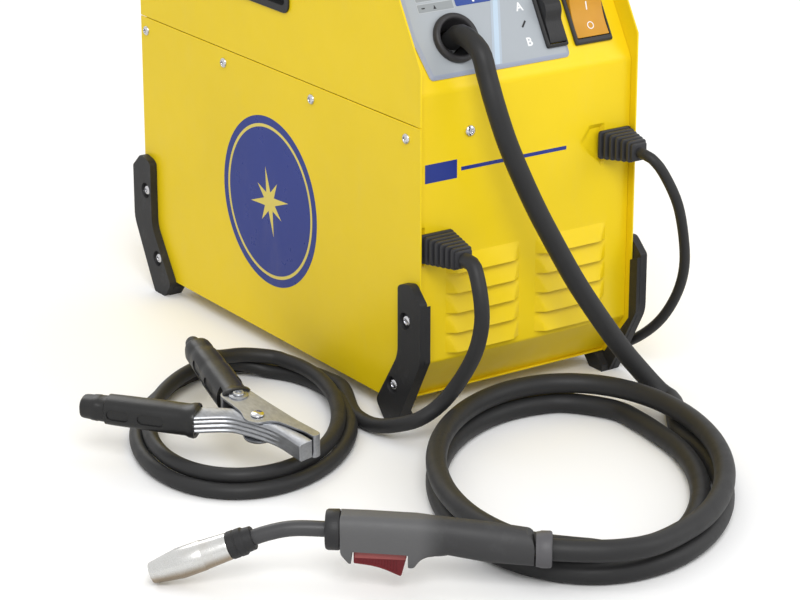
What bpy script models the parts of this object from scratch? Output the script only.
"""Compact MIG welding machine with its torch, earth clamp and leads. Lengths below are in millimetres and are
scaled to metres when a mesh is made. X is the width, the front faces -Y, Z is up, and the origin is the centre of
the base plate's underside."""

import bpy
import bmesh
import math
import numpy as np
from mathutils import Vector, Matrix

for old in list(bpy.data.objects):
    bpy.data.objects.remove(old, do_unlink=True)

# ---------------------------------------------------------------- driving dimensions
W = 210.0            # width over the side panels
L = 432.0            # length over the side panels
H = 372.0            # top of the top cover
T = 1.5              # sheet thickness
GAP = 0.3            # clearance between neighbouring pieces
YF = -L / 2          # front edge of the side panels
YR = L / 2           # rear edge of the side panels
FLOOR = -14.2        # ground level, the underside of the feet
SEAM = 234.0         # seam between the lower left panel and the reel door
SLOPE = 30.5         # control face, degrees back from upright
FOLD = 258.0         # height of the fold between upright face and control face
RECESS = 7.0         # front sheet behind the side panels' edge
REEL_D, REEL_W, REEL_BORE = 200.0, 55.0, 51.0
REEL_Y, REEL_Z = 74.0, 262.0
TORCH_D, EARTH_D, MAINS_D = 16.0, 12.0, 8.6

XS = W / 2 - T       # inner face of the side panels
XI = XS - GAP        # half width of the inner sheets
DIV = -28.0          # right face of the centre divider
s30, c30 = math.sin(math.radians(SLOPE)), math.cos(math.radians(SLOPE))

MATS = {}


def mat(name, rgb, metallic=0.0, rough=0.5, alpha=1.0):
    if name not in MATS:
        m = bpy.data.materials.new(name)
        m.use_nodes = True
        b = m.node_tree.nodes["Principled BSDF"]
        b.inputs["Base Color"].default_value = (*rgb, 1)
        b.inputs["Metallic"].default_value = metallic
        b.inputs["Roughness"].default_value = rough
        b.inputs["Alpha"].default_value = alpha
        MATS[name] = m
    return MATS[name]


YELLOW = mat("yellow_paint", (0.80, 0.55, 0.03), 0.0, 0.35)
BLACK = mat("black_plastic", (0.03, 0.03, 0.03), 0.0, 0.5)
RUBBER = mat("black_rubber", (0.045, 0.045, 0.045), 0.0, 0.7)
GREY = mat("grey_plate", (0.50, 0.53, 0.56), 0.0, 0.4)
DARK = mat("dark_grey_plastic", (0.09, 0.09, 0.095), 0.0, 0.5)
ORANGE = mat("orange_lens", (0.75, 0.30, 0.03), 0.0, 0.25)
RED = mat("red_plastic", (0.35, 0.01, 0.02), 0.0, 0.35)
STEEL = mat("zinc_steel", (0.55, 0.55, 0.56), 1.0, 0.35)
CHROME = mat("chrome", (0.7, 0.7, 0.7), 1.0, 0.12)
ALU = mat("aluminium", (0.6, 0.61, 0.62), 1.0, 0.4)
COPPER = mat("copper", (0.6, 0.25, 0.12), 1.0, 0.35)
BRASS = mat("brass", (0.6, 0.42, 0.13), 1.0, 0.3)
PCB = mat("circuit_board", (0.02, 0.16, 0.06), 0.0, 0.4)
LAMINATE = mat("laminated_iron", (0.16, 0.15, 0.15), 0.6, 0.5)
PALE = mat("pale_plastic", (0.55, 0.53, 0.48), 0.0, 0.5)


# ---------------------------------------------------------------- shape helpers
def make(name, verts, faces, material, matrix=None, smooth=False):
    """A mesh object from millimetre coordinates."""
    m = matrix or Matrix.Identity(4)
    mesh = bpy.data.meshes.new(name)
    mesh.from_pydata([tuple((m @ Vector(v)) * 0.001) for v in verts], [], faces)
    mesh.materials.append(material)
    bm = bmesh.new()
    bm.from_mesh(mesh)
    bmesh.ops.recalc_face_normals(bm, faces=bm.faces)
    if bm.calc_volume(signed=True) < 0:
        bmesh.ops.reverse_faces(bm, faces=bm.faces)
    bm.to_mesh(mesh)
    bm.free()
    if smooth:
        for p in mesh.polygons:
            p.use_smooth = True
    ob = bpy.data.objects.new(name, mesh)
    bpy.context.scene.collection.objects.link(ob)
    return ob


def frame(origin, ex, ey, ez=None):
    ex, ey = Vector(ex).normalized(), Vector(ey).normalized()
    ez = Vector(ez).normalized() if ez else ex.cross(ey)
    m = Matrix.Identity(4)
    for i, e in enumerate((ex, ey, ez)):
        for j in range(3):
            m[j][i] = e[j]
    m.translation = Vector(origin)
    return m


def prism(name, outline, lo, hi, material, matrix=None, smooth=False):
    """Outline in the matrix's x, y, drawn out along its z from lo to hi."""
    n = len(outline)
    verts = [(x, y, lo) for x, y in outline] + [(x, y, hi) for x, y in outline]
    faces = [tuple(range(n))[::-1], tuple(range(n, 2 * n))]
    faces += [(i, (i + 1) % n, n + (i + 1) % n, n + i) for i in range(n)]
    return make(name, verts, faces, material, matrix, smooth)


YZ = frame((0, 0, 0), (0, 1, 0), (0, 0, 1))  # outline is (y, z), depth is x


def box(name, lo, hi, material, matrix=None):
    out = [(lo[0], lo[1]), (hi[0], lo[1]), (hi[0], hi[1]), (lo[0], hi[1])]
    return prism(name, out, lo[2], hi[2], material, matrix)


def lathe(name, profile, material, matrix, segs=24):
    """Profile of (radius, height) turned about the matrix's z. A first or last radius of 0 closes on the axis;
    otherwise the profile is a closed loop round a hole."""
    closed_loop = profile[0][0] > 0 or profile[-1][0] > 0
    verts, rings = [], []
    for r, h in profile:
        if r <= 1e-6:
            rings.append([len(verts)])
            verts.append((0, 0, h))
        else:
            rings.append(list(range(len(verts), len(verts) + segs)))
            verts += [(r * math.cos(2 * math.pi * k / segs), r * math.sin(2 * math.pi * k / segs), h) for k in range(segs)]
    faces = []
    pairs = list(zip(rings, rings[1:]))
    if closed_loop:
        pairs.append((rings[-1], rings[0]))
    for a, b in pairs:
        for k in range(segs):
            k2 = (k + 1) % segs
            if len(a) == 1 and len(b) == 1:
                continue
            if len(a) == 1:
                faces.append((a[0], b[k], b[k2]))
            elif len(b) == 1:
                faces.append((a[k], b[0], a[k2]))
            else:
                faces.append((a[k], b[k], b[k2], a[k2]))
    return make(name, verts, faces, material, matrix, smooth=True)


def tube(name, path, radius, material, segs=8, radii=None):
    """A round section swept along the path without twisting."""
    p = [Vector(v) for v in path]
    tangents = [(p[min(i + 1, len(p) - 1)] - p[max(i - 1, 0)]).normalized() for i in range(len(p))]
    side = tangents[0].orthogonal().normalized()
    verts, faces = [], []
    for i, (c, t) in enumerate(zip(p, tangents)):
        side = (side - t * side.dot(t)).normalized()
        up = t.cross(side)
        r = radii[i] if radii else radius
        for k in range(segs):
            a = 2 * math.pi * (k + 0.5) / segs
            verts.append(c + (side * math.cos(a) + up * math.sin(a)) * r)
        if i:
            b = (i - 1) * segs
            for k in range(segs):
                k2 = (k + 1) % segs
                faces.append((b + k, b + k2, b + segs + k2, b + segs + k))
    faces.append(tuple(range(segs)))
    faces.append(tuple(range(len(verts) - segs, len(verts)))[::-1])
    return make(name, verts, faces, material, None, smooth=True)


def spline(points, step):
    """Centripetal curve through the points, sampled about every step millimetres."""
    p = [Vector(v) for v in points]
    p = [p[0] * 2 - p[1]] + p + [p[-1] * 2 - p[-2]]
    out = []
    for i in range(1, len(p) - 2):
        a, b, c, d = p[i - 1], p[i], p[i + 1], p[i + 2]
        n = max(1, int(round((c - b).length / step)))
        for k in range(n):
            t = k / n
            out.append(0.5 * ((2 * b) + (c - a) * t + (2 * a - 5 * b + 4 * c - d) * t * t + (3 * b - a - 3 * c + d) * t ** 3))
    out.append(p[-2])
    return out


def boolean(ob, others, op):
    for o in others:
        m = ob.modifiers.new(op.lower(), "BOOLEAN")
        m.operation, m.solver, m.object = op, "EXACT", o
    bpy.context.view_layer.update()
    done = bpy.data.meshes.new_from_object(ob.evaluated_get(bpy.context.evaluated_depsgraph_get()))
    ob.modifiers.clear()
    ob.data = done
    for o in others:
        bpy.data.objects.remove(o, do_unlink=True)
    return ob


def join(ob, *others):
    return boolean(ob, list(others), "UNION")


def cut(ob, *others):
    return boolean(ob, list(others), "DIFFERENCE")


def at(ob, point):
    """Moves the object's origin to a point of its axis."""
    shift = Vector(point) * 0.001
    ob.data.transform(Matrix.Translation(-shift))
    ob.location = shift
    return ob


def sheet(points, t):
    """Closed outline of a folded sheet whose outer face runs through the points."""
    pts = [Vector(p) for p in points]
    inner = []
    for i, p in enumerate(pts):
        normals = []
        for a, b in ((i - 1, i), (i, i + 1)):
            if a >= 0 and b < len(pts):
                d = (pts[b] - pts[a]).normalized()
                normals.append(Vector((d.y, -d.x)))
        n = sum(normals, Vector((0, 0))).normalized()
        inner.append(p + n * (t / n.dot(normals[0])))
    return [tuple(p) for p in pts] + [tuple(p) for p in reversed(inner)]


def rounded(x0, y0, x1, y1, r, n=4):
    out = []
    for cx, cy, a0 in ((x1 - r, y1 - r, 0), (x0 + r, y1 - r, 90), (x0 + r, y0 + r, 180), (x1 - r, y0 + r, 270)):
        for k in range(n + 1):
            a = math.radians(a0 + 90 * k / n)
            out.append((cx + r * math.cos(a), cy + r * math.sin(a)))
    return out


def turned(points, degrees, pivot):
    a = math.radians(degrees)
    return [(pivot[0] + (x - pivot[0]) * math.cos(a) - (y - pivot[1]) * math.sin(a),
             pivot[1] + (x - pivot[0]) * math.sin(a) + (y - pivot[1]) * math.cos(a)) for x, y in points]


# Control face frame: local x is +X, y runs up the slope, z is out of the face.
FACE0 = (0.0, YF + RECESS, FOLD)
FACE = frame(FACE0, (1, 0, 0), (0, s30, c30), (0, -c30, s30))


def face_point(x, s, n=0.0):
    return FACE @ Vector((x, s, n))


# ---------------------------------------------------------------- housing sheets
SIDE = [(YF + 31.5, 0.0), (YF, 40.0), (YF, 279.0), (YF + (H - 279.0) * s30 / c30, H), (YR, H), (YR, 40.0), (YR - 31.5, 0.0)]
prism("right_side_panel", SIDE[::-1], XS, W / 2, YELLOW, YZ)
lower = [(YF + 31.5, 0.0), (YF, 40.0), (YF, SEAM - GAP), (YR, SEAM - GAP), (YR, 40.0), (YR - 31.5, 0.0)]
prism("left_lower_panel", lower[::-1], -W / 2, -XS, YELLOW, YZ)

base = prism("base_plate", [(YF + 33.0, 0.7), (YR - 33.0, 0.7), (YR - 33.0, 2.0), (YF + 33.0, 2.0)], -XI, XI, YELLOW, YZ)
join(base, box("pad", (-70.0, -130.0, 0.0), (70.0, 130.0, 1.4), YELLOW))   # pressed pad, the lowest face of the base

top_y = YF + RECESS + (H - T - GAP - FOLD) * s30 / c30
front_line = [(YF + 36.0, 2.0 + GAP), (YF + RECESS, 39.0), (YF + RECESS, FOLD), (top_y, H - T - GAP)]
front = prism("front_panel", sheet(front_line, T), -XI, XI, YELLOW, YZ)

# Pressed louvres: two columns of five hoods over slots.
LOUVRE_Z = (117.0, 100.5, 84.0, 67.5, 51.0)
hoods, slots = [], []
yf = YF + RECESS
for x0, x1 in ((-76.0, -7.0), (11.0, 79.0)):
    for z in LOUVRE_Z:
        verts = [(x0, yf + 0.5, z + 6), (x1, yf + 0.5, z + 6), (x1, yf + 0.5, z - 6), (x0, yf + 0.5, z - 6),
                 (x0 + 6, yf - 4.2, z - 2.5), (x1 - 6, yf - 4.2, z - 2.5), (x1 - 3, yf - 4.2, z - 6), (x0 + 3, yf - 4.2, z - 6)]
        faces = [(0, 1, 2, 3), (4, 7, 6, 5), (0, 4, 5, 1), (3, 2, 6, 7), (0, 3, 7, 4), (1, 5, 6, 2)]
        hoods.append(make("hood", verts, faces, YELLOW))
        slots.append(box("slot", (x0 + 6, yf - 3.0, z - 8), (x1 - 6, yf + 3.0, z - 4.5), YELLOW))
join(front, *hoods)
GLANDS = {"left": (-86.5, 135.5, 7), "right": (87.0, 190.5, 6)}   # x, z, ribs
for gx, gz, _ in GLANDS.values():
    slots.append(box("hole", (gx - 9.5, yf - 4, gz - 8), (gx + 9.5, yf + 4, gz + 8), YELLOW))
RING = (-56.2, 38.7)
KNOB = (-12.0, 98.0)
MODE = (34.6, 41.0, 10.4, 23.0)     # centre x, centre s, half width, half height
POWER = (71.5, 40.0, 18.3, 23.4)
slots.append(lathe("hole", [(0, -8), (16.5, -8), (16.5, 8), (0, 8)], YELLOW, FACE @ Matrix.Translation((*RING, 0))))
slots.append(lathe("hole", [(0, -8), (4.2, -8), (4.2, 8), (0, 8)], YELLOW, FACE @ Matrix.Translation((*KNOB, 0)), 16))
for cx, cs, hx, hs in (MODE, POWER):
    slots.append(box("hole", (cx - hx + 1.0, cs - hs + 1.0, -6), (cx + hx - 1.0, cs + hs - 1.0, 6), YELLOW, FACE))
cut(front, *slots)

# Rear sheet with a round fan grille.
rear_line = [(YR - RECESS, H - T - GAP), (YR - RECESS, 39.0), (YR - 36.0, 2.0 + GAP)]
rear = prism("rear_panel", sheet(rear_line, T), -XI, XI, YELLOW, YZ)
FAN_X, FAN_Z = 38.0, 120.0
bars = []
for k in range(7):
    z = FAN_Z - 36 + 12 * k
    half = math.sqrt(max(0.0, 44.0 ** 2 - (z - FAN_Z) ** 2))
    bars.append(prism("slot", rounded(-half, -3.0, half, 3.0, 2.9, 3), -4, 4, YELLOW, frame((FAN_X, YR - RECESS, z), (1, 0, 0), (0, 0, 1))))
bars.append(lathe("hole", [(0, -6), (8.4, -6), (8.4, 6), (0, 6)], YELLOW, frame((-60, YR - RECESS, 70), (1, 0, 0), (0, 0, 1)), 20))
cut(rear, *bars)

cover = prism("top_cover", sheet([(YF + 55.8, H - 9.0), (YF + 55.8 + 0.2, H), (YR - 0.2, H), (YR, H - 9.0)], T), DIV - T + 0.3, XI, YELLOW, YZ)

# Reel door: side leaf and top leaf in one bent sheet, hinged along the seam.
door_side = [(YF, SEAM + GAP), (YF, 279.0), (YF + 54.4, H - 0.7), (YR, H - 0.7), (YR, SEAM + GAP)]
door = prism("reel_door", door_side[::-1], -W / 2, -XS, YELLOW, YZ)
join(door, box("leaf", (-W / 2, YF + 55.8, H - T), (DIV - T - GAP, YR, H), YELLOW))
LATCH_Y0, LATCH_Y1, LATCH_Z0, LATCH_Z1 = YF + 185.0, YF + 275.0, 285.0, 345.0
XL = frame((0, 0, 0), (0, 1, 0), (0, 0, 1))
cut(door, prism("hole", rounded(LATCH_Y0 + 3, LATCH_Z0 + 3, LATCH_Y1 - 3, LATCH_Z1 - 3, 6), -W / 2 - 3, -XS + 3, YELLOW, XL))
cup = prism("latch_frame", rounded(LATCH_Y0, LATCH_Z0, LATCH_Y1, LATCH_Z1, 8), -W / 2 - GAP - 1.6, -W / 2 - GAP, BLACK, XL)
join(cup, prism("body", rounded(LATCH_Y0 + 3.4, LATCH_Z0 + 3.4, LATCH_Y1 - 3.4, LATCH_Z1 - 3.4, 5.6), -W / 2 - 1.0, -W / 2 + 9.4, BLACK, XL))
cut(cup, prism("well", rounded(LATCH_Y0 + 6, LATCH_Z0 + 6, LATCH_Y1 - 6, LATCH_Z1 - 6, 4), -W / 2 - 5, -W / 2 + 7.6, BLACK, XL))
slider = prism("latch_slider", [(-W / 2 + 7.2, 320.0), (-W / 2 + 7.2, 300.0), (-W / 2 + 2.0, 300.0), (-W / 2 + 0.4, 303.0), (-W / 2 + 0.4, 306.0), (-W / 2 + 4.0, 310.0), (-W / 2 + 4.0, 320.0)],
               LATCH_Y0 + 7, LATCH_Y1 - 7, DARK, frame((0, 0, 0), (1, 0, 0), (0, 0, 1), (0, 1, 0)))
at(slider, (-W / 2 + 4, (LATCH_Y0 + LATCH_Y1) / 2, 310))
HINGE = (-W / 2 - 0.2, 0.0, SEAM)
at(door, HINGE)
at(cup, HINGE)

# Centre divider and the floor of the reel compartment.
inner_front = [(YF + 40.5, 2.0 + GAP), (YF + RECESS + T + 0.5, 41.0), (YF + RECESS + T + 0.8, FOLD + 0.5), (YF + RECESS + T + 1.3 + (H - 2.2 - FOLD) * s30 / c30, H - T - GAP - 0.3)]
inner_rear = [(YR - RECESS - T - 0.5, H - T - GAP - 0.3), (YR - RECESS - T - 0.5, 41.0), (YR - 40.5, 2.0 + GAP)]
divider = prism("centre_divider", (inner_front + inner_rear)[::-1], DIV - T, DIV, STEEL, YZ)
FLOOR_Z = 150.0
box("reel_floor", (-XI, YF + RECESS + T + 0.5, FLOOR_Z), (DIV - T - GAP, YR - RECESS - T - 0.5, FLOOR_Z + T), YELLOW)

# Carry handle across the top cover.
HX = 2.0
arch = [(-118, H + GAP), (-96, H + GAP), (-90, H + 14), (-78, H + 27), (-60, H + 31), (60, H + 31), (78, H + 27), (90, H + 14), (96, H + GAP),
        (118, H + GAP), (116, H + 18), (104, H + 38), (86, H + 49), (64, H + 53), (-64, H + 53), (-86, H + 49), (-104, H + 38), (-116, H + 18)]
grip = prism("carry_handle", arch[::-1], HX - 14, HX + 14, BLACK, YZ)


# ---------------------------------------------------------------- bumpers that are also the feet
def bumper(name, sx, sy):
    """Clip over a corner of the housing. Drawn for the right front corner and mirrored by sx, sy."""
    def p(pts, lo, hi):
        q = [(sy * (YF + y), z) for y, z in pts]
        a, b = sorted((sx * lo, sx * hi))
        return prism("piece", q, a, b, RUBBER, YZ)
    outer = [(-10, 96), (-10, 47), (17, -3), (23.5, FLOOR), (41, FLOOR), (52, -1), (21, 46), (21, 103), (17, 106), (4, 109)]
    bridge = [(-9.8, 94), (-9.8, 47.1), (17.2, -2.8), (23.7, FLOOR + 0.2), (36, FLOOR + 0.2), (36, -6), (31.7, -0.9), (-0.35, 39.8), (-0.35, 90)]
    foot = [(24, FLOOR), (41, FLOOR), (50, -4), (50, -GAP), (33.5, -GAP), (24, -9)]
    ob = p(outer, W / 2 + GAP, W / 2 + 7)
    ob.name = name
    ob.data.name = name
    join(ob, p(bridge, W / 2 - 3, W / 2 + 2), p(foot, W / 2 - 10, W / 2 + 2))
    return ob


for name, sx, sy in (("bumper_front_right", 1, 1), ("bumper_front_left", -1, 1), ("bumper_rear_right", 1, -1), ("bumper_rear_left", -1, -1)):
    bumper(name, sx, sy)

# ---------------------------------------------------------------- control face
plate = prism("control_plate", [(-86, 9.3), (-88, 11), (-94.3, 45), (-93.5, 118), (-91, 121), (42, 121), (45.5, 118), (45.5, 12), (43, 9.3)], GAP, 2.2, GREY, FACE)
cut(plate,
    lathe("hole", [(0, -3), (16.5, -3), (16.5, 6), (0, 6)], GREY, FACE @ Matrix.Translation((*RING, 0))),
    lathe("hole", [(0, -3), (4.2, -3), (4.2, 6), (0, 6)], GREY, FACE @ Matrix.Translation((*KNOB, 0)), 16),
    box("hole", (MODE[0] - MODE[2] + 1.0, MODE[1] - MODE[3] + 1.0, -3), (MODE[0] + MODE[2] - 1.0, MODE[1] + MODE[3] - 1.0, 6), GREY, FACE))

ring = lathe("cable_outlet_ring", [(9.2, -12), (16.0, -12), (16.0, 2.5), (20.0, 2.5), (20.0, 5.5), (18.6, 7.5), (15.5, 7.0), (14.0, 2.0), (9.2, -6)],
             DARK, FACE @ Matrix.Translation((*RING, 0)), 28)


def switch(prefix, spec, n0, rocker_mat, tilt, ridge):
    cx, cs, hx, hs = spec
    bez = box(prefix + "_switch_bezel", (cx - hx, cs - hs, n0), (cx + hx, cs + hs, n0 + 3.2), BLACK, FACE)
    end = 2.4 if ridge else 4.4
    join(bez, box("body", (cx - hx + 1.3, cs - hs + 1.3, -20), (cx + hx - 1.3, cs + hs - 1.3, n0 + 1), BLACK, FACE))
    cut(bez, box("well", (cx - hx + 2.3, cs - hs + end, -15), (cx + hx - 2.3, cs + hs - end, n0 + 8), BLACK, FACE))
    half = hs - end - 1.5
    pivot = (cs, n0 - 3.0)
    if ridge:
        out = [(-half, 6.0), (-half + 1, -6), (half - 1, -6), (half, 5.6), (half - 8, 9.6), (half - 14, 9.2), (half - 20, 5.2), (-half + 6, 6.6)]
    else:
        out = [(-half, 6.0), (-half + 1.5, -6), (half - 1.5, -6), (half, 6.0), (0, 3.4)]
    out = turned([(cs + a, n0 + b) for a, b in out], tilt, pivot)
    m = FACE @ frame((0, 0, 0), (0, 1, 0), (0, 0, 1))
    rocker = prism(prefix + "_rocker", out, cx - hx + 2.7, cx + hx - 2.7, rocker_mat, m)
    axis_point = face_point(cx, *pivot)
    return at(rocker, axis_point), axis_point


power, POWER_AXIS = switch("power", POWER, GAP, ORANGE, 8.0, False)
mode, MODE_AXIS = switch("mode", MODE, 2.5, BLACK, 8.0, True)

KNOB_M = FACE @ Matrix.Translation((*KNOB, 0))
knob = lathe("speed_knob", [(0, -9), (3.2, -9), (3.2, 2.8), (18.5, 2.8), (18.5, 5.0), (15.5, 7.0), (14.0, 18.0), (12.5, 19.5), (0, 19.5)], BLACK, KNOB_M, 28)
join(knob, box("pointer", (-1.2, 5.0, 5.2), (1.2, 14.6, 20.4), BLACK, KNOB_M))
at(knob, face_point(*KNOB, 0))
lathe("potentiometer", [(0, -24), (12, -24), (12, -9.6), (0, -9.6)], STEEL, KNOB_M, 20)


def gland(name, x, z, steps):
    """Stepped rectangular boot pointing forward, with its neck in the front sheet."""
    m = frame((x, yf, z), (1, 0, 0), (0, 0, 1))   # z of the matrix is -Y
    rings = []
    for k in range(steps):
        f = k / (steps - 1)
        hw = 16.0 - 6.8 * f
        top = 11.6 - 2.9 * f
        bottom = -top
        a = GAP + 1.0 + k * 5.5
        rings.append(((hw, bottom, top), a, a + 3.4))
        rings.append(((hw - 1.5, bottom + 1.5, top - 1.5), a + 3.4, a + 5.5))
    rings[0] = (rings[0][0], GAP, rings[0][2])
    verts, faces = [], []
    for (hw, b, t), lo, hi in rings:
        for h in (lo, hi):
            verts += [(-hw, b, h), (hw, b, h), (hw, t, h), (-hw, t, h)]
    for i in range(len(verts) // 4 - 1):
        for k in range(4):
            k2 = (k + 1) % 4
            faces.append((4 * i + k, 4 * i + k2, 4 * i + 4 + k2, 4 * i + 4 + k))
    faces.append((3, 2, 1, 0))
    n = len(verts)
    faces.append((n - 4, n - 3, n - 2, n - 1))
    ob = make(name, verts, faces, RUBBER, m)
    join(ob, box("neck", (-8.5, -7, -14), (8.5, 7, GAP + 1), RUBBER, m))
    return ob


for side, (gx, gz, ribs) in GLANDS.items():
    gland("cable_gland_" + side, gx, gz, ribs)
GLAND_TIP = {side: GAP + 1.0 + ribs * 5.5 for side, (_, _, ribs) in GLANDS.items()}
TIP_DZ = -0.5   # the tip's centre lies this far below the gland's centre

# ---------------------------------------------------------------- wire feed, in a frame tilted to the torch outlet
FEED_X = RING[0]
fc = face_point(RING[0], RING[1], -98.0)
FEED = frame((0, fc.y, fc.z), (0, -c30, s30), (0, s30, c30), (-1, 0, 0))  # x towards the outlet, y up, z is -X


def feed_point(u, v, x):
    return FEED @ Vector((u, v, -x))


plate_x0, plate_x1 = DIV - T - GAP, DIV - T - GAP - 6.0
feeder = prism("feeder_plate", rounded(-48, -34, 46, 34, 6), -plate_x0, -plate_x1, ALU, FEED)
DRIVE = (0.0, -15.5)
PRESS = (0.0, 11.6)
ARM_PIVOT = (-34.0, 14.0)
cut(feeder, lathe("hole", [(0, 20), (6.3, 20), (6.3, 50), (0, 50)], ALU, FEED @ Matrix.Translation((*DRIVE, 0)), 16))
cut(divider, lathe("hole", [(0, 20), (6.3, 20), (6.3, 40), (0, 40)], STEEL, FEED @ Matrix.Translation((*DRIVE, 0)), 16))
# wire guides, one each side of the rollers
join(feeder, box("guide", (18, -9, -plate_x1 - 1), (44, 5.5, -FEED_X + 6), ALU, FEED), box("guide", (-46, -9, -plate_x1 - 1), (-18, 3.5, -FEED_X + 6), ALU, FEED))
cut(feeder, lathe("bore", [(0, -60), (1.6, -60), (1.6, 60), (0, 60)], ALU, FEED @ frame((0, 0, -FEED_X), (0, 1, 0), (0, 0, 1), (1, 0, 0)), 10))

drive = lathe("drive_roller", [(0, -DIV + 0.8), (5.8, -DIV + 0.8), (5.8, -FEED_X - 5.5), (15.0, -FEED_X - 5.5), (15.0, -FEED_X - 1.2), (14.2, -FEED_X),
                               (15.0, -FEED_X + 1.2), (15.0, -FEED_X + 5.5), (6.0, -FEED_X + 5.5), (6.0, -FEED_X + 9), (0, -FEED_X + 9)], STEEL, FEED @ Matrix.Translation((*DRIVE, 0)), 24)
at(drive, feed_point(*DRIVE, FEED_X))
motor = lathe("feed_motor", [(0, -DIV - 0.3), (24, -DIV - 0.3), (24, -DIV - 26), (17, -DIV - 26.5), (17, -DIV - 74), (6, -DIV - 76), (0, -DIV - 76)], DARK, FEED @ Matrix.Translation((*DRIVE, 0)), 24)

arm = prism("pressure_arm", [(-40, 9), (-28, 9), (-20, 19), (-6, 21), (8, 21), (14, 26.5), (34, 26.5), (36, 31.5), (10, 32.5), (-20, 31), (-38, 22)], -FEED_X - 11, -FEED_X + 11, PALE, FEED)
cut(arm, box("fork", (-14.5, -10, -FEED_X - 6.4), (14.5, 27.5, -FEED_X + 6.4), PALE, FEED),
    lathe("bore", [(0, 20), (3.3, 20), (3.3, 90), (0, 90)], PALE, FEED @ Matrix.Translation((*ARM_PIVOT, 0)), 16),
    lathe("bore", [(0, -60), (2.8, -60), (2.8, 60), (0, 60)], PALE, FEED @ frame((26, 0, -FEED_X), (0, 0, 1), (1, 0, 0), (0, 1, 0)), 14))
join(arm, box("ear", (-6, 6.0, -FEED_X - 10.8), (6, 24.0, -FEED_X - 6.6), PALE, FEED), box("ear", (-6, 6.0, -FEED_X + 6.6), (6, 24.0, -FEED_X + 10.8), PALE, FEED))
cut(arm, lathe("bore", [(0, 20), (2.3, 20), (2.3, 90), (0, 90)], PALE, FEED @ Matrix.Translation((*PRESS, 0)), 14))
at(arm, feed_point(*ARM_PIVOT, FEED_X))
# pivot pin of the arm stands on the feeder plate
join(feeder, lathe("pin", [(0, -plate_x1 - 2), (3.0, -plate_x1 - 2), (3.0, -FEED_X + 10.5), (0, -FEED_X + 10.5)], ALU, FEED @ Matrix.Translation((*ARM_PIVOT, 0)), 14))
press = lathe("pressure_roller", [(0, -FEED_X - 10), (2.0, -FEED_X - 10), (2.0, -FEED_X - 6), (11.0, -FEED_X - 5.6), (11.0, -FEED_X + 5.6), (2.0, -FEED_X + 6), (2.0, -FEED_X + 10), (0, -FEED_X + 10)],
              STEEL, FEED @ Matrix.Translation((*PRESS, 0)), 24)
at(press, feed_point(*PRESS, FEED_X))
TEN = FEED @ frame((26, 0, -FEED_X), (0, 0, 1), (1, 0, 0), (0, 1, 0))
tension = lathe("tension_knob", [(0, 8), (2.4, 8), (2.4, 46), (9.5, 46), (9.5, 62), (8, 64), (0, 64)], BLACK, TEN, 16)
at(tension, feed_point(26, 40, FEED_X))
coils = [TEN @ Vector((5.0 * math.cos(a), 5.0 * math.sin(a), 33.8 + 10.8 * a / (8 * math.pi))) for a in [k * math.pi / 4 for k in range(33)]]
tube("tension_spring", coils, 0.8, STEEL, 5)

# ---------------------------------------------------------------- reel on its spindle
REEL = frame((0, REEL_Y, REEL_Z), (0, 1, 0), (0, 0, 1), (-1, 0, 0))
ra, rb = 36.0, 36.0 + REEL_W
bore = REEL_BORE / 2
reel = lathe("wire_reel", [(bore, ra), (REEL_D / 2, ra), (REEL_D / 2, ra + 2.5), (48, ra + 2.5), (48, rb - 2.5), (REEL_D / 2, rb - 2.5), (REEL_D / 2, rb), (bore, rb)], DARK, REEL, 48)
at(reel, (-(ra + rb) / 2, REEL_Y, REEL_Z))
wound = lathe("wound_wire", [(48.3, ra + 2.8), (86, ra + 2.8), (86, rb - 2.8), (48.3, rb - 2.8)], COPPER, REEL, 48)
at(wound, (-(ra + rb) / 2, REEL_Y, REEL_Z))
lathe("reel_spindle", [(0, -DIV + T + GAP), (34, -DIV + T + GAP), (34, 33.5), (bore - 0.4, 35.0), (bore - 0.4, 89), (0, 89)], BLACK, REEL, 28)
lathe("reel_nut", [(0, 91.5), (27.5, 91.5), (27.5, 93.2), (22, 94.6), (0, 94.6)], BLACK, REEL, 24)
join(bpy.data.objects["reel_spindle"], bpy.data.objects["reel_nut"], lathe("stud", [(0, 80), (14, 80), (14, 93), (0, 93)], BLACK, REEL, 16))

# ---------------------------------------------------------------- power and gas side
box("transformer_core", (-12, -60, 4.3), (78, 30, 74), LAMINATE)
core = bpy.data.objects["transformer_core"]
cut(core, box("window", (2, -90, 22), (24, 60, 56), LAMINATE), box("window", (42, -90, 22), (64, 60, 56), LAMINATE))
coil = box("transformer_coil", (2.4, -72, 22.4), (63.6, 42, 55.6), COPPER)
cut(coil, box("window", (23.7, -60.4, 10), (42.3, 30.4, 70), COPPER))
bars = [box("fin", (-90 + 8 * k, 60, 14), (-86 + 8 * k, 140, 64), ALU) for k in range(6)]
sink = box("rectifier_heatsink", (-91, 60, 6), (-45, 140, 16), ALU)
join(sink, *bars)
board = box("control_board", (-20, -190, 90), (88, -60, 91.6), PCB)
join(board, *[box("part", (-12 + 26 * k, -170, 91.2), (2 + 26 * k, -150, 103), PCB) for k in range(4)], lathe("capacitor", [(0, 91.0), (11, 91.0), (11, 126), (0, 126)], PCB, Matrix.Translation((20, -95, 0)), 16),
     lathe("capacitor", [(0, 91.0), (11, 91.0), (11, 126), (0, 126)], PCB, Matrix.Translation((52, -95, 0)), 16))
yr = YR - RECESS - T
shroud = prism("fan_housing", rounded(FAN_X - 46, FAN_Z - 46, FAN_X + 46, FAN_Z + 46, 6), -(yr - GAP), -(yr - 26), BLACK, frame((0, 0, 0), (1, 0, 0), (0, 0, 1)))
FANM = frame((FAN_X, 0, FAN_Z), (1, 0, 0), (0, 0, 1))
cut(shroud, lathe("duct", [(0, -(yr + 3)), (43, -(yr + 3)), (43, -(yr - 40)), (0, -(yr - 40))], BLACK, FANM, 32))
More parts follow.
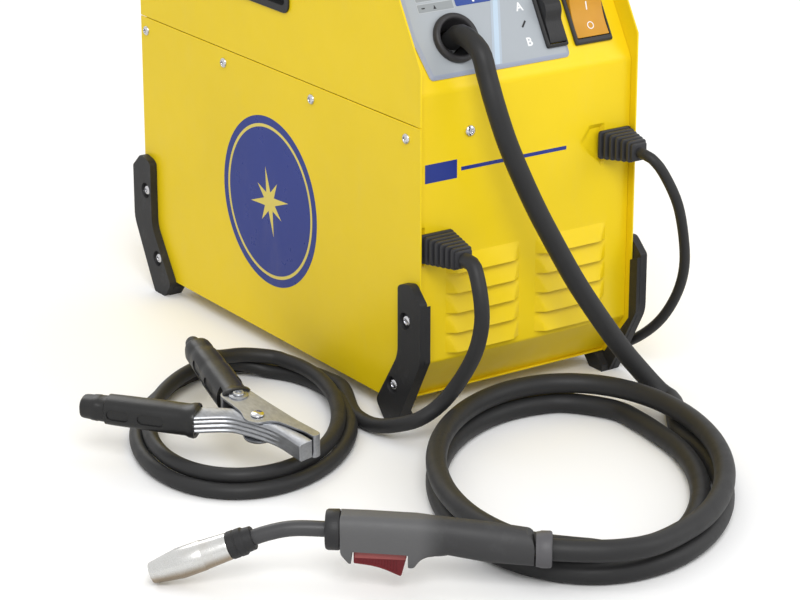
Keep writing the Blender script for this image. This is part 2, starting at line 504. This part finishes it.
join(shroud, box("strut", (FAN_X - 44.5, yr - 4, FAN_Z - 3), (FAN_X + 44.5, yr - 1, FAN_Z + 3), BLACK),
     lathe("hub", [(0, -(yr - 1)), (14, -(yr - 1)), (14, -(yr - 6)), (0, -(yr - 6))], BLACK, FANM, 20))
rotor = lathe("fan_rotor", [(0, -(yr - 7)), (15, -(yr - 7)), (15, -(yr - 22)), (0, -(yr - 22))], DARK, FANM, 20)
blades = []
for k in range(7):
    m = FANM @ Matrix.Rotation(2 * math.pi * k / 7, 4, "Z") @ Matrix.Translation((0, 0, -(yr - 14.5))) @ Matrix.Rotation(math.radians(32), 4, "X")
    blades.append(box("blade", (11, -8.5, -0.8), (40.5, 8.5, 0.8), DARK, m))
join(rotor, *blades)
at(rotor, (FAN_X, yr - 14.5, FAN_Z))
GASM = frame((-60, 0, 70), (1, 0, 0), (0, 0, 1))
valve = lathe("gas_valve", [(0, -(YR + 16)), (5.0, -(YR + 16)), (6.2, -(YR + 10)), (6.2, -(YR + 2)), (8.0, -(YR + 2)), (8.0, -(yr - 4)), (12, -(yr - 4)), (12, -(yr - 30)), (0, -(yr - 30))], BRASS, GASM, 20)
join(valve, box("coil", (-72, yr - 40, 56), (-48, yr - 8, 94), BRASS))

# ---------------------------------------------------------------- leads
RX, RYY = Vector((0.827, -0.5622, 0)), Vector((0.5622, 0.827, 0))   # the coils' own axes on the floor


def on_coil(centre, a, b, degrees, z):
    t = math.radians(degrees)
    return RX * (centre[0] + a * math.cos(t)) + RYY * (centre[1] + b * math.sin(t)) + Vector((0, 0, z))


TC, TA, TB = (153.0, -355.0), 107.0, 160.0
tr = TORCH_D / 2
LOW, HIGH = FLOOR + tr + 0.3, FLOOR + tr + 0.3 + TORCH_D + 0.9
TORCH_TIP = Vector((-416.3, -339.2, 0))
TORCH_DIR = Vector((0.7982, -0.6024, 0))
rear_of_torch = TORCH_TIP + TORCH_DIR * 278.0 + Vector((0, 0, FLOOR + 32.5))
ring_out = face_point(RING[0], RING[1], -4.0)
ring_out2 = face_point(RING[0], RING[1], 12.0)
drop = [ring_out, ring_out2, (-57.0, -224.5, 290.5), (-56.0, -234.0, 271.0), (-54.0, -242.0, 250.0), (-45.0, -248.0, 217.5), (-28.0, -253.5, 176.4), (-10.5, -257.0, 142.0),
        (15.8, -261.0, 96.0), (50.9, -265.0, 45.0), (72.0, -271.0, 17.0), (84.0, -281.0, 0.0), (86.0, -296.0, LOW + 0.4)]
torch_path = [Vector(v) for v in drop]
NEXT = TORCH_D + 1.3                              # spacing of two strands that lie side by side
for d in range(38, -278, -14):                    # first turn, on the floor
    torch_path.append(on_coil(TC, TA, TB, d, LOW))
for k, d in enumerate(range(-291, -437, -14)):    # the next part lies inside the first on the right
    f = (0.3, 0.75, 1.0)[min(k, 2)]
    torch_path.append(on_coil(TC, TA - NEXT * f, TB - NEXT * f, d, LOW))
for k, d in enumerate((-447, -459, -471, -483)):  # then it climbs on top
    f = (0.25, 0.6, 0.9, 1.0)[k]
    torch_path.append(on_coil(TC, TA - NEXT * (1 - f), TB - NEXT * (1 - f), d, LOW + (HIGH - LOW) * math.sqrt(1 - (1 - f) ** 2)))
for d in range(-497, -766, -14):                  # second full turn, on top
    torch_path.append(on_coil(TC, TA, TB, d, HIGH))
torch_path += [RX * r + RYY * a + Vector((0, 0, z)) for r, a, z in ((207.0, -497.0, HIGH + 1.4), (188.0, -516.0, HIGH + 3.6), (166.5, -526.6, HIGH + 5.6))]
torch_path += [rear_of_torch + TORCH_DIR * 20 + Vector((0, 0, -0.6)), rear_of_torch]
tube("torch_cable", spline(torch_path, 26), tr, RUBBER, 8)

er = EARTH_D / 2
EC, EA, EB = (-103.5, -243.0), 83.5, 125.5         # lower ring
UC, UA, UB = (-103.5, -239.1), 74.0, 121.0         # upper ring, lying in the shoulder of the lower one
ELOW = FLOOR + er + 0.3
gx, gz, _ = GLANDS["left"]
e0 = Vector((gx, yf - GLAND_TIP["left"] - GAP, gz - 0.5))
# Earth clamp: it lies on its side across the coil, jaws towards the front. Local origin is the pivot rivet.
CLAMP_O = RX * -88.3 + RYY * -327.2 + Vector((0, 0, FLOOR + 51.0))
CLAMP_M = frame(CLAMP_O, RX, RYY * math.cos(math.radians(8)) + Vector((0, 0, math.sin(math.radians(8)))))
DEPTH = 19.0
UP_GRIP = [(-17.0, 33.0), (-37.0, 84.0), (-54.0, 122.0)]
upper_out = [(-31, 31), (-20, 46), (-9, 40), (-1, 30), (7, 20), (28.7, -6), (48.9, -27), (43.4, -32.4), (37.0, -25.0), (16, -9.5), (9.5, -8.5), (0, -12.0), (-9, -7.5), (-13, 6)]
upper = prism("clamp_upper_jaw", upper_out[::-1], -DEPTH, 0, STEEL, CLAMP_M)
cut(upper, prism("slot", [(-60, 0), (-33, 24), (-10, 33), (-3.5, 26), (5, 17.0), (26.5, -8.8), (39.2, -21.6), (44.2, -26.6), (38, -40), (-20, -40)], -DEPTH + 1.8, -1.8, STEEL, CLAMP_M))
lower_out = [(-52, -0.5), (-23, 1.0), (-10, -4.0), (0, -9.5), (15.5, -20.6), (33, -41.4), (42.0, -33.6), (35.6, -26.2), (22, -13.5), (9.5, 0), (7, 7), (0, 9.5), (-9, 9.5), (-20, 14), (-52, 17)]
lowerj = prism("clamp_lower_jaw", lower_out, -DEPTH + 2.1, -2.1, STEEL, CLAMP_M)
cut(lowerj, lathe("bore", [(0, -30), (3.4, -30), (3.4, 10), (0, 10)], STEEL, CLAMP_M, 16))
cut(upper, lathe("bore", [(0, -30), (3.4, -30), (3.4, 10), (0, 10)], STEEL, CLAMP_M, 16))
lathe("clamp_rivet", [(0, -DEPTH - 1.5), (5.0, -DEPTH - 1.5), (5.0, -DEPTH - 0.3), (3.1, -DEPTH - 0.3), (3.1, 0.3), (5.2, 0.3), (5.2, 1.2), (4.0, 1.9), (0, 2.0)], CHROME, CLAMP_M, 16)


def grip_piece(name, start, end, mid_z, shape):
    """Moulded sleeve with a flared mouth."""
    a, b = CLAMP_M @ Vector((*start, mid_z)), CLAMP_M @ Vector((*end, mid_z))
    d = (b - a).normalized()
    nz = (CLAMP_M.to_3x3() @ Vector((0, 0, 1))).normalized()
    m = frame(a, nz, d.cross(nz) * -1, d)
    if m.to_3x3().determinant() < 0:
        m = frame(a, nz, d.cross(nz), d)
    ln = (b - a).length
    verts, faces, n = [], [], 12
    for f, rx, ry in shape:
        h = ln * f
        for k in range(n):
            t = 2 * math.pi * (k + 0.5) / n
            verts.append((rx * math.copysign(abs(math.cos(t)) ** 0.7, math.cos(t)), ry * math.copysign(abs(math.sin(t)) ** 0.7, math.sin(t)), h))
    for i in range(len(shape) - 1):
        for k in range(n):
            k2 = (k + 1) % n
            faces.append((n * i + k, n * i + k2, n * i + n + k2, n * i + n + k))
    faces += [tuple(range(n))[::-1], tuple(range(len(verts) - n, len(verts)))]
    return make(name, verts, faces, RUBBER, m, smooth=True), m, ln


mid = -DEPTH / 2
UP_SHAPE = [(0, 13.4, 14.2), (0.05, 12.0, 12.6), (0.1, 11.8, 12.5), (0.55, 11.6, 12.4), (0.85, 10.8, 11.4), (0.97, 10.2, 10.8), (1, 8.7, 9.2)]
LO_SHAPE = [(0, 12.6, 13.2), (0.05, 11.4, 11.8), (0.5, 11.2, 11.8), (0.76, 10.8, 11.4), (0.79, 9.2, 9.6), (0.97, 8.4, 8.8), (1, 7.2, 7.6)]   # part of length, half height, half width
ug, ugm, uln = grip_piece("clamp_upper_grip", UP_GRIP[0], UP_GRIP[2], mid, UP_SHAPE)
cut(ug, prism("socket", [(-45, 22), (-18, 60), (0, 52), (2, 28), (-12, 4)], -DEPTH - 0.4, 0.4, RUBBER, CLAMP_M))
lg, lgm, lln = grip_piece("clamp_lower_grip", (-45.5, 7.6), (-135.0, 31.0), mid, LO_SHAPE)
cut(lg, prism("socket", [(-30, -1.6), (-53, -1.6), (-53, 18.2), (-30, 17)], -DEPTH + 1.5, -1.5, RUBBER, CLAMP_M))
at(lowerj, CLAMP_O)
at(lg, CLAMP_O)

grip_end = ugm @ Vector((0, 0, uln + 0.3))
grip_dir = (ugm.to_3x3() @ Vector((0, 0, 1))).normalized()
earth_path = [e0, e0 + Vector((0, -5, 0)), e0 + Vector((0.0, -13, -3)), (-88.0, -272.0, 113.0), (-88.0, -274.0, 91.0), (-91.0, -270.0, 67.0), (-96.5, -258.5, 42.0), (-106.0, -246.0, 20.0), (-121.0, -237.0, 7.5),
              (-132.0, -220.0, -0.5), (-136.5, -199.0, ELOW + 1.5), (-136.5, -178.0, ELOW + 0.2), (-131.0, -158.0, ELOW)]
earth_path = [Vector(v) for v in earth_path]
OUT = EARTH_D + 0.9
for d in range(38, 101, 12):                      # on the floor outside the lower ring
    earth_path.append(on_coil(EC, EA + OUT, EB + OUT, d, ELOW))
for d in range(112, 149, 12):                     # drifts into it
    f = math.cos(math.pi / 2 * (d - 100) / 50.0)
    earth_path.append(on_coil(EC, EA + OUT * f, EB + OUT * f, d, ELOW))
for d in range(160, 441, 14):
    earth_path.append(on_coil(EC, EA, EB, d, ELOW))
for d in range(452, 789, 14):                     # rises into the upper ring and follows it
    f = min(1.0, (d - 440) / 50.0)
    f = math.sin(math.pi / 2 * f)
    low, up = on_coil(EC, EA, EB, d, 0), on_coil(UC, UA, UB, d, 0)
    flat = low.lerp(up, f)
    side = (up - low).length * f
    earth_path.append(flat + Vector((0, 0, ELOW + f * math.sqrt((EARTH_D + 0.5) ** 2 - side ** 2))))
earth_path += [RX * r + RYY * a + Vector((0, 0, z)) for r, a, z in ((-86.0, -121.5, 5.2), (-109.0, -125.0, 8.5), (-128.0, -138.0, 11.5), (-138.0, -156.0, 19.0), (-143.0, -174.0, 30.0), (-144.5, -190.0, 39.0))]
earth_path += [grip_end + grip_dir * 8, grip_end]
tube("earth_cable", spline(earth_path, 22), er, RUBBER, 8)

mr = MAINS_D / 2
gx, gz, _ = GLANDS["right"]
m0 = Vector((gx, yf - GLAND_TIP["right"] - GAP, gz - 0.5))
MLOW = FLOOR + mr + 0.4
mains_path = [m0, m0 + Vector((0, -5, 0)), m0 + Vector((1.5, -13, -2)), (96.5, -262.0, 176.0), (109.0, -266.0, 148.6), (122.0, -260.0, 112.0), (129.0, -252.0, 84.0), (131.0, -240.0, 58.0), (129.0, -224.0, 34.0),
              (124.0, -204.0, 15.0), (121.5, -178.0, 0.0), (119.5, -150.0, MLOW + 1), (119.0, -110.0, MLOW), (119.0, 0.0, MLOW), (120.0, 110.0, MLOW), (122.0, 200.0, MLOW), (112.0, 262.0, MLOW),
              (82.0, 290.0, MLOW + 1), (52.0, 297.5, MLOW + 4.5), (32.0, 298.0, MLOW + 7), (20.0, 298.0, MLOW + 8), (12.4, 298.0, MLOW + 8)]
tube("mains_cable", spline(mains_path, 24), mr, RUBBER, 8)
PLUG = frame((12.0, 298.0, MLOW + 8), (0, 1, 0), (0, 0, 1), (-1, 0, 0))
plug = lathe("mains_plug", [(0, 0), (6.6, 0), (7.6, 16), (12.2, 22), (12.2, 40), (0, 40)], BLACK, PLUG, 16)
join(plug, *[lathe("pin", [(0, 38), (2.4, 38), (2.4, 58.4), (1.8, 59), (0, 59)], BLACK, PLUG @ Matrix.Translation((y, 0, 0)), 10) for y in (-6.3, 6.3)])

# ---------------------------------------------------------------- torch: local x along the torch, y up from the ground
TQ = frame(TORCH_TIP + Vector((0, 0, FLOOR)), TORCH_DIR, (0, 0, 1))
NA = math.radians(21.9)
NOZ = TQ @ frame((0, 8.2, 0), (0, 0, 1), (-math.sin(NA), math.cos(NA), 0), (math.cos(NA), math.sin(NA), 0))
nozzle = lathe("gas_nozzle", [(6.3, 0), (7.5, 0), (10.9, 21), (10.7, 40), (9.5, 59), (8.4, 59), (8.6, 40), (9.2, 21)], STEEL, NOZ, 28)
at(nozzle, NOZ @ Vector((0, 0, 59)))
lathe("nozzle_insulator", [(0, 38), (5.2, 38), (5.2, 44), (8.1, 45), (8.1, 59.4), (9.9, 59.4), (9.9, 70), (8.6, 71.5), (8.4, 77), (0, 77)], BLACK, NOZ, 24)
lathe("contact_tip", [(0, 3), (1.6, 3), (3.4, 9), (3.4, 37.7), (0, 37.7)], COPPER, NOZ, 14)
neck_pts = [NOZ @ Vector((0, 0, 77.3)), NOZ @ Vector((0, 0, 84)), TQ @ Vector((87.5, 42.4, 0)), TQ @ Vector((96, 44.2, 0)), TQ @ Vector((106, 44.8, 0)), TQ @ Vector((121.2, 44.4, 0))]
tube("swan_neck", spline(neck_pts, 7), 5.3, BLACK, 14)
COL = TQ @ frame((0, 44.3, 0), (0, 0, 1), (0, 1, 0), (-1, 0, 0))
lathe("torch_front_collar", [(0, -121.5), (13.2, -121.5), (14.4, -123), (14.4, -131.4), (0, -131.4)], BLACK, COL, 24)

side_out = [(131.8, 57.5), (151, 57), (199, 54.8), (238, 51.2), (265.9, 46.6), (265.0, 21.5), (232, 23.5), (205, 28.5), (192, 30), (187, 27.6), (182.4, 20.8), (178.7, 20.8), (178.7, 31.6),
            (140.2, 33.4), (139.6, 24), (138, 24), (132.2, 31.5)]
handle = prism("torch_handle", side_out[::-1], -13.2, 13.2, DARK, TQ)
verts, faces, n = [], [], 0
for e_, lo_, hi_, hw in ((130.0, 22.0, 57.7, 13.2), (186.0, 19.6, 55.5, 13.0), (197.0, 26.0, 55.0, 12.0), (206.0, 27.6, 54.3, 11.8), (233.0, 22.8, 51.8, 11.8), (267.0, 20.8, 46.7, 12.2)):
    sec = rounded(-hw, lo_, hw, hi_, 10.4, 3)
    n = len(sec)
    verts += [(e_, b, a) for a, b in sec]
for i in range(5):
    for k in range(n):
        k2 = (k + 1) % n
        faces.append((n * i + k, n * i + k2, n * i + n + k2, n * i + n + k))
faces += [tuple(range(n))[::-1], tuple(range(5 * n, 6 * n))]
envelope = make("envelope", verts, faces, DARK, TQ)
boolean(handle, [envelope], "INTERSECT")
cut(handle, box("pocket", (140.4, 10, -9.4), (178.6, 44, 9.4), DARK, TQ))
trigger = prism("trigger", [(141.2, 36), (177.9, 36), (177.9, 29), (174, 13.8), (158, 21), (141.2, 23.2)][::-1], -8.9, 8.9, RED, TQ)
TRIG_AXIS = TQ @ Vector((144.0, 33.0, 0))
at(trigger, TRIG_AXIS)
REAR = frame(rear_of_torch - TORCH_DIR * 0.3, (0, 0, 1), TORCH_DIR.cross(Vector((0, 0, 1))), -TORCH_DIR)
lathe("torch_rear_collar", [(0, 0), (12.0, 0), (13.0, 1.5), (13.0, 8.0), (12.2, 11.2), (0, 11.2)], DARK, REAR, 24)
